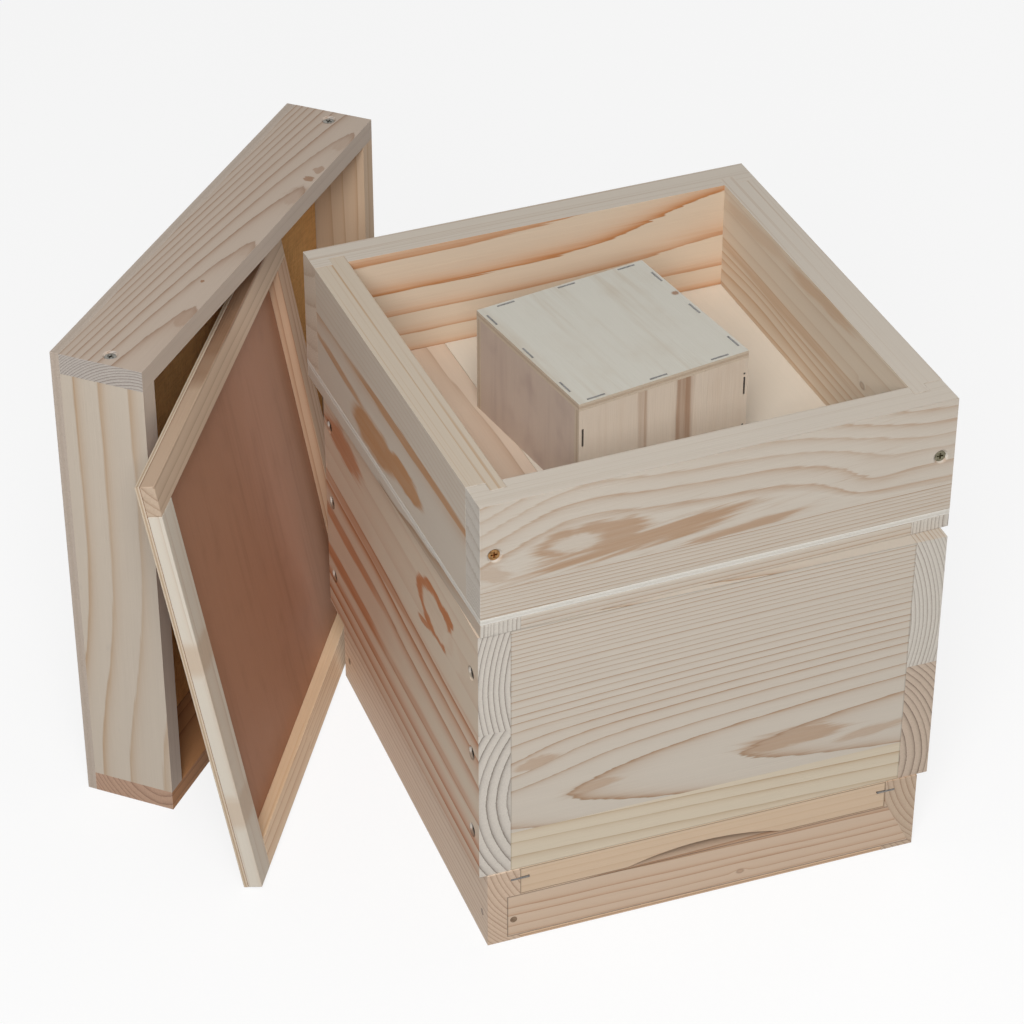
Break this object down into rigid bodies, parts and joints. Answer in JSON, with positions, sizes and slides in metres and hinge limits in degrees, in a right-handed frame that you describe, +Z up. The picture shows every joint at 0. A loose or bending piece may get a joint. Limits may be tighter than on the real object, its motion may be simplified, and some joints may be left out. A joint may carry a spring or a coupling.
{
  "type": "nucleus hive",
  "caption": "Small square wooden beehive: floor with entrance, brood box with hanging frames, feeder box with hood; roof stands on edge beside it with the crown board leaning on it.",
  "frame": {"origin": "middle of the hive floor's underside, on the ground", "axes": "+Z up, +X to the right and +Y to the back, seen from the entrance"},
  "size_m": [0.4879, 0.4779, 0.332],
  "materials": {
    "pine": "bare planed softwood",
    "plywood": "bare pale plywood",
    "hood_plywood": "bare poplar plywood",
    "red_plywood": "bare reddish plywood",
    "cream_sheet": "smooth cream sheet",
    "softboard": "brown fibreboard",
    "zinc_steel": "zinc plated",
    "yellow_zinc": "yellow passivated zinc"
  },
  "bodies": {
    "floor": {"floor_left_rail": "pine", "floor_right_rail": "pine", "floor_front_rail": "pine", "floor_back_rail": "pine", "floor_panel": "pine", "entrance_strip": "pine", "entrance_staples": "zinc_steel", "floor_nails": "zinc_steel"},
    "brood_box": {"brood_left_wall": "pine", "brood_right_wall": "pine", "brood_front_wall": "pine", "brood_back_wall": "pine", "brood_screws": "zinc_steel"},
    "feeder": {"feeder_rim_left": "pine", "feeder_rim_right": "pine", "feeder_rim_front": "pine", "feeder_rim_back": "pine", "feeder_base_ply": "plywood", "feeder_floor_strip": "pine", "feeder_floor_sheet": "cream_sheet", "feeder_left_wall": "pine", "feeder_right_wall": "pine", "feeder_front_wall": "pine", "feeder_back_wall": "pine", "feeder_yellow_screw": "yellow_zinc", "feeder_screws": "zinc_steel"},
    "hood": {"hood_top": "hood_plywood", "hood_front_panel": "hood_plywood", "hood_back_panel": "hood_plywood", "hood_left_panel": "hood_plywood", "hood_right_panel": "hood_plywood", "hood_staples": "zinc_steel", "hood_pins": "zinc_steel"},
    "crown_board": {"crown_panel": "red_plywood", "crown_top_rail": "pine", "crown_bottom_rail": "pine", "crown_near_stile": "pine", "crown_far_stile": "pine"},
    "roof": {"roof_upper_side": "pine", "roof_lower_side": "pine", "roof_near_side": "pine", "roof_far_side": "pine", "roof_cover_ply": "plywood", "roof_softboard": "softboard", "roof_screws": "zinc_steel"},
    "frame_1": {"frame_1_top_bar": "pine", "frame_1_lower_bars": "pine"},
    "frame_2": {"frame_2_top_bar": "pine", "frame_2_lower_bars": "pine"},
    "frame_3": {"frame_3_top_bar": "pine", "frame_3_lower_bars": "pine"},
    "frame_4": {"frame_4_top_bar": "pine", "frame_4_lower_bars": "pine"},
    "frame_5": {"frame_5_top_bar": "pine", "frame_5_lower_bars": "pine"},
    "frame_6": {"frame_6_top_bar": "pine", "frame_6_lower_bars": "pine"}
  },
  "joints": [
    {"name": "brood_lift", "type": "slide", "parent": "floor", "child": "brood_box", "axis": [0, 0, 1], "range_m": [0, 0.2]},
    {"name": "feeder_lift", "type": "slide", "parent": "brood_box", "child": "feeder", "axis": [0, 0, 1], "range_m": [0, 0.15]},
    {"name": "hood_lift", "type": "slide", "parent": "feeder", "child": "hood", "axis": [0, 0, 1], "range_m": [0, 0.1]},
    {"name": "frame_1_slide", "type": "slide", "parent": "brood_box", "child": "frame_1", "axis": [1, 0, 0], "range_m": [-0.012, 0.012]},
    {"name": "frame_2_slide", "type": "slide", "parent": "brood_box", "child": "frame_2", "axis": [1, 0, 0], "range_m": [-0.012, 0.012]},
    {"name": "frame_3_slide", "type": "slide", "parent": "brood_box", "child": "frame_3", "axis": [1, 0, 0], "range_m": [-0.012, 0.012]},
    {"name": "frame_4_slide", "type": "slide", "parent": "brood_box", "child": "frame_4", "axis": [1, 0, 0], "range_m": [-0.012, 0.012]},
    {"name": "frame_5_slide", "type": "slide", "parent": "brood_box", "child": "frame_5", "axis": [1, 0, 0], "range_m": [-0.012, 0.012]},
    {"name": "frame_6_slide", "type": "slide", "parent": "brood_box", "child": "frame_6", "axis": [1, 0, 0], "range_m": [-0.012, 0.012]},
    {"name": "crown_swing", "type": "hinge", "parent": "floor", "child": "crown_board", "pos_m": [-0.26684, -0.04112, 0], "axis": [0.5075, 0.8616, 0], "range_deg": [0, 5]},
    {"name": "roof_tip", "type": "hinge", "parent": "floor", "child": "roof", "pos_m": [-0.3337, 0.08718, 0], "axis": [-0.6665, -0.7455, 0], "range_deg": [0, 90]}
  ]
}
